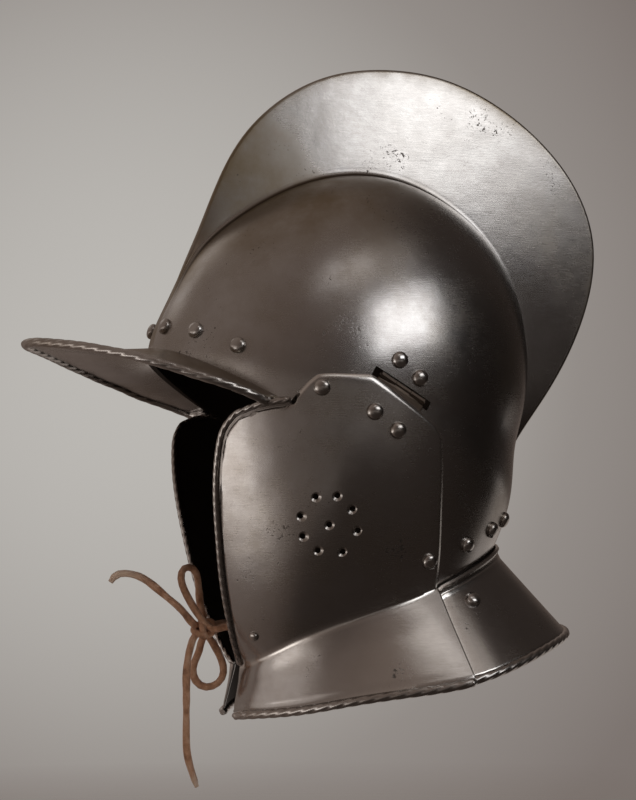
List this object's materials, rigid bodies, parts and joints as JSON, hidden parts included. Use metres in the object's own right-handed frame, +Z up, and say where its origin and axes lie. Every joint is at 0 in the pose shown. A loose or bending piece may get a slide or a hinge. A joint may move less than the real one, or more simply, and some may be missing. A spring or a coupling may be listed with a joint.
{
  "type": "burgonet helmet",
  "caption": "Open steel helmet with a tall comb, pointed peak, hinged cheek pieces with vent holes, flared neck guard and a tied leather lace.",
  "frame": {"origin": "the seat on the head: on the middle plane, about 4 mm under the highest point inside the bowl, the thickness of a lining", "axes": "+Z up through the comb, +Y towards the back of the head, +X towards the wearer's left"},
  "size_m": [0.1994, 0.3531, 0.4231],
  "materials": {
    "steel": "dark polished steel, finely scratched and lightly rust-specked",
    "leather": "dull tan thong"
  },
  "bodies": {
    "root": {"brow_rivet_inner_left": "steel", "brow_rivet_inner_right": "steel", "brow_rivet_middle_left": "steel", "brow_rivet_middle_right": "steel", "brow_rivet_outer_left": "steel", "brow_rivet_outer_right": "steel", "cheek_hinge_rivet_front_left": "steel", "cheek_hinge_rivet_front_right": "steel", "cheek_hinge_rivet_rear_left": "steel", "cheek_hinge_rivet_rear_right": "steel", "cheek_left": "steel", "cheek_rear_rivet_left": "steel", "cheek_rear_rivet_right": "steel", "cheek_right": "steel", "guard_rivet_left": "steel", "guard_rivet_right": "steel", "hinge_cheek_leaf_left": "steel", "hinge_cheek_leaf_right": "steel", "hinge_pin_left": "steel", "hinge_pin_right": "steel", "hinge_skull_leaf_left": "steel", "hinge_skull_leaf_right": "steel", "lace_end_left": "leather", "lace_end_right": "leather", "lace_knot": "leather", "lace_loop_lower": "leather", "lace_loop_upper": "leather", "lace_rivet_left": "steel", "lace_rivet_right": "steel", "lace_tie_left": "leather", "lace_tie_right": "leather", "lobe_rivet_left": "steel", "lobe_rivet_right": "steel", "nape_rivet_inner_left": "steel", "nape_rivet_inner_right": "steel", "nape_rivet_middle_left": "steel", "nape_rivet_middle_right": "steel", "nape_rivet_outer_left": "steel", "nape_rivet_outer_right": "steel", "neck_guard": "steel", "skull": "steel", "skull_hinge_rivet_front_left": "steel", "skull_hinge_rivet_front_right": "steel", "skull_hinge_rivet_rear_left": "steel", "skull_hinge_rivet_rear_right": "steel"}
  },
  "joints": []
}
